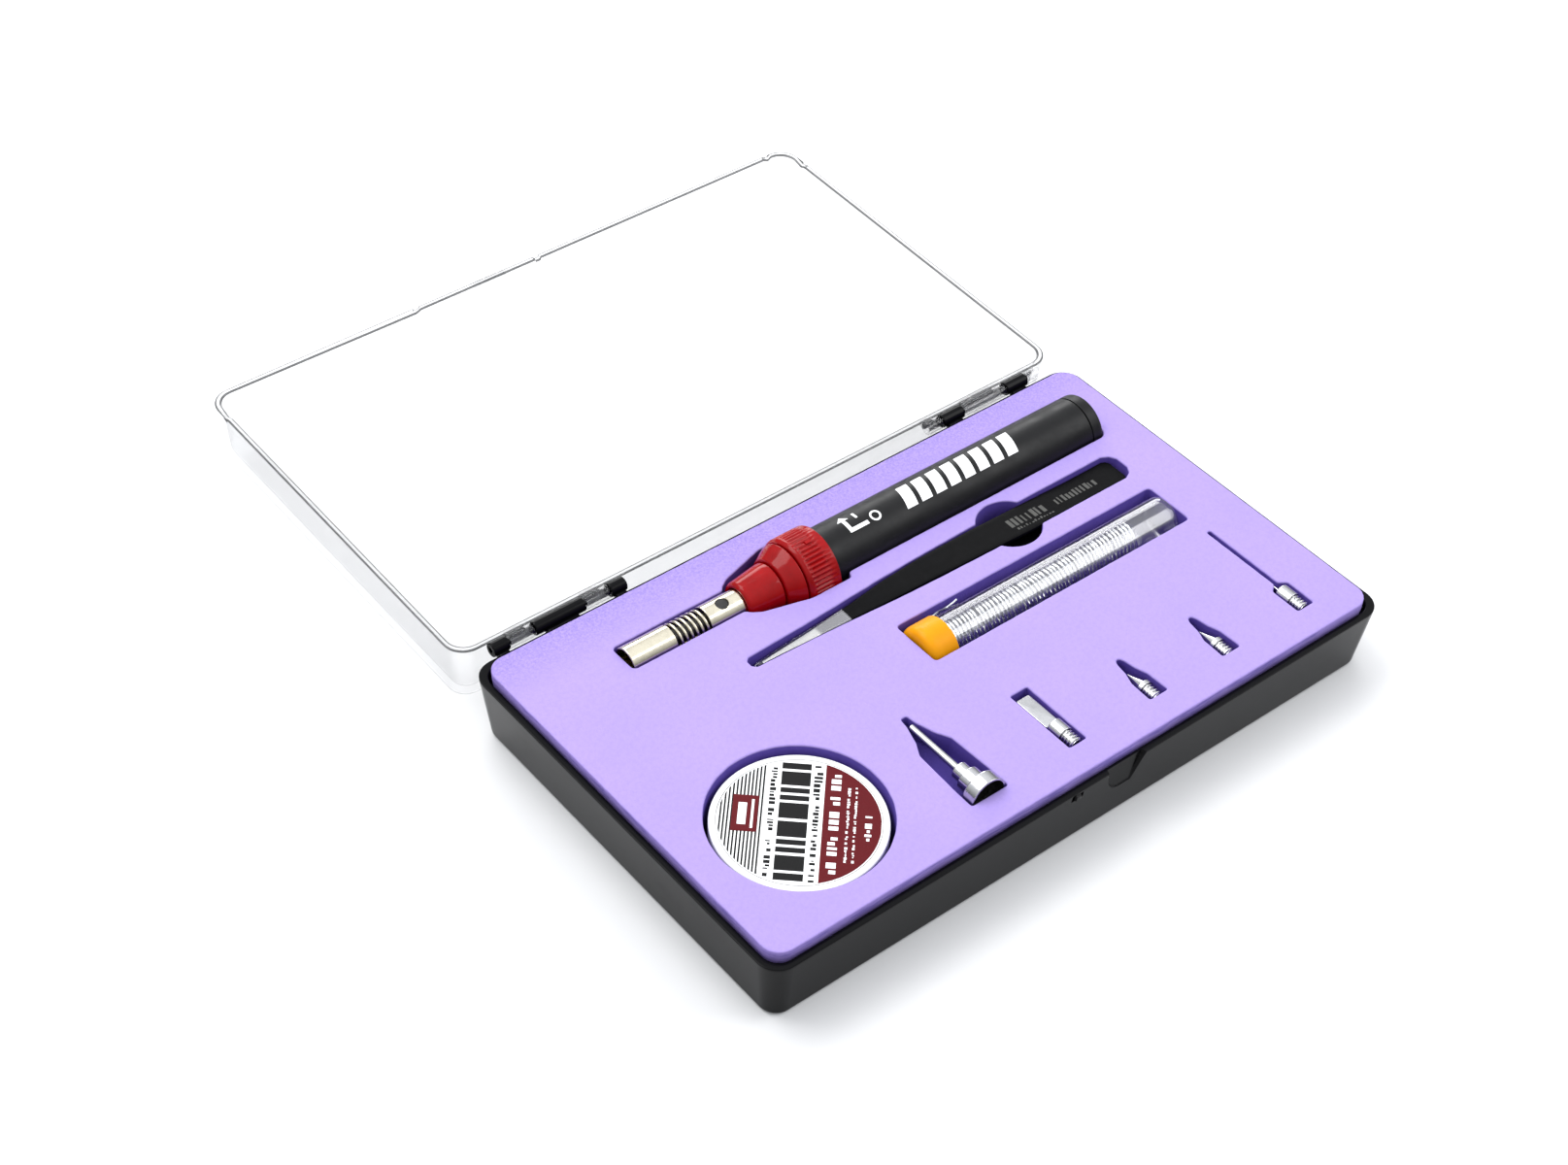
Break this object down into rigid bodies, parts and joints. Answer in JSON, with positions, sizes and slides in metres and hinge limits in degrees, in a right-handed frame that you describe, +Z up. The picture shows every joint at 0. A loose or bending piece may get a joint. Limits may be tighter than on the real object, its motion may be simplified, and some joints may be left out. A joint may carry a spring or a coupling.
{
  "type": "gas soldering iron kit",
  "caption": "Gas soldering iron kit in a hinged clear-lidded case: foam tray with butane iron, tweezers, solder tube, flux jar and screw-in tips",
  "frame": {"origin": "middle of the case's underside", "axes": "+X along the hinge, +Y from the latch side to the hinge side, +Z up; the lid lies open behind the case"},
  "size_m": [0.2, 0.2477, 0.0304],
  "materials": {
    "case_black": "glossy black injection-moulded styrene",
    "case_clear": "clear injection-moulded styrene",
    "foam": "lavender closed-cell foam, matt",
    "body_black": "satin black plastic",
    "red_plastic": "glossy translucent red plastic",
    "nickel": "nickel plated, warm",
    "spring_steel": "heat-darkened steel",
    "brass": "turned brass",
    "seal": "black rubber",
    "wick": "off-white fibre",
    "coated_steel": "matt black coating over steel, bare at the points",
    "guard_clear": "soft clear vinyl",
    "tube_clear": "clear extruded plastic",
    "cap_orange": "soft orange-yellow plastic",
    "solder_wire": "bright tin-lead wire",
    "jar_white": "white plastic",
    "label_paper": "printed paper",
    "paste": "amber paste",
    "tip_metal": "bright plated steel"
  },
  "bodies": {
    "case_base": {"case_base": "case_black"},
    "case_lid": {"case_lid": "case_clear"},
    "foam_insert": {"foam_insert": "foam"},
    "iron": {"iron_tank_shell": "body_black", "iron_end_cap": "body_black", "iron_end_seal": "seal", "iron_fill_valve": "brass", "iron_fill_stem": "brass", "iron_valve_body": "brass", "iron_valve_seal": "seal", "iron_valve_spring": "spring_steel", "iron_gas_wick": "wick", "iron_gas_jet": "brass", "iron_nose_shoulder": "red_plastic", "iron_nose_tip": "red_plastic", "iron_mixing_tube": "spring_steel", "iron_barrel_rear": "nickel", "iron_barrel_spring": "nickel", "iron_barrel_sleeve": "nickel", "iron_tip_socket": "brass"},
    "iron_dial": {"iron_dial_ring": "red_plastic", "iron_valve_stem": "brass"},
    "tweezers": {"tweezers_lower_arm": "coated_steel", "tweezers_spacer": "spring_steel", "tweezers_tip_guard": "guard_clear"},
    "tweezers_arm": {"tweezers_upper_arm": "coated_steel"},
    "solder": {"solder_tube": "tube_clear", "solder_coil": "solder_wire"},
    "solder_cap": {"solder_tube_cap": "cap_orange"},
    "flux": {"flux_jar": "jar_white", "flux_paste": "paste"},
    "flux_lid": {"flux_jar_lid": "jar_white", "flux_jar_label": "label_paper"},
    "blow_tip": {"blow_tip_hood": "tip_metal", "blow_tip_tube": "tip_metal"},
    "blade_tip": {"blade_tip_base": "tip_metal", "blade_tip_blade": "tip_metal"},
    "cone_tip_a": {"cone_tip_a": "tip_metal"},
    "cone_tip_b": {"cone_tip_b": "tip_metal"},
    "needle_tip": {"needle_tip_base": "tip_metal", "needle_tip_needle": "tip_metal"}
  },
  "joints": [
    {"name": "lid_hinge", "type": "hinge", "parent": "case_base", "child": "case_lid", "pos_m": [0, 0.0627, 0.01945], "axis": [-1, 0, 0], "range_deg": [-178.5, 0]},
    {"name": "foam_lift", "type": "slide", "parent": "case_base", "child": "foam_insert", "axis": [0, 0, 1], "range_m": [0, 0.03]},
    {"name": "iron_lift", "type": "slide", "parent": "foam_insert", "child": "iron", "axis": [0, 0, 1], "range_m": [0, 0.04]},
    {"name": "dial_turn", "type": "hinge", "parent": "iron", "child": "iron_dial", "pos_m": [-0.0118, 0.039, 0.0198], "axis": [1, 0, 0], "range_deg": [0, 90]},
    {"name": "tweezers_lift", "type": "slide", "parent": "foam_insert", "child": "tweezers", "axis": [0, 0, 1], "range_m": [0, 0.03]},
    {"name": "tweezers_squeeze", "type": "hinge", "parent": "tweezers", "child": "tweezers_arm", "pos_m": [0.0666, 0.019, 0.0196], "axis": [0, 1, 0], "range_deg": [-0.7, 0], "stiffness_Nm_per_rad": 1, "springref_deg": 2.86},
    {"name": "solder_lift", "type": "slide", "parent": "foam_insert", "child": "solder", "axis": [0, 0, 1], "range_m": [0, 0.03]},
    {"name": "solder_cap_twist", "type": "hinge", "parent": "solder", "child": "solder_cap", "pos_m": [-0.0025, -0.0002, 0.0172], "axis": [1, 0, 0], "continuous": true},
    {"name": "flux_lift", "type": "slide", "parent": "foam_insert", "child": "flux", "axis": [0, 0, 1], "range_m": [0, 0.03]},
    {"name": "flux_lid_lift", "type": "slide", "parent": "flux", "child": "flux_lid", "axis": [0, 0, 1], "range_m": [0, 0.02]},
    {"name": "blow_tip_lift", "type": "slide", "parent": "foam_insert", "child": "blow_tip", "axis": [0, 0, 1], "range_m": [0, 0.025]},
    {"name": "blade_tip_lift", "type": "slide", "parent": "foam_insert", "child": "blade_tip", "axis": [0, 0, 1], "range_m": [0, 0.025]},
    {"name": "cone_tip_a_lift", "type": "slide", "parent": "foam_insert", "child": "cone_tip_a", "axis": [0, 0, 1], "range_m": [0, 0.025]},
    {"name": "cone_tip_b_lift", "type": "slide", "parent": "foam_insert", "child": "cone_tip_b", "axis": [0, 0, 1], "range_m": [0, 0.025]},
    {"name": "needle_tip_lift", "type": "slide", "parent": "foam_insert", "child": "needle_tip", "axis": [0, 0, 1], "range_m": [0, 0.025]}
  ]
}
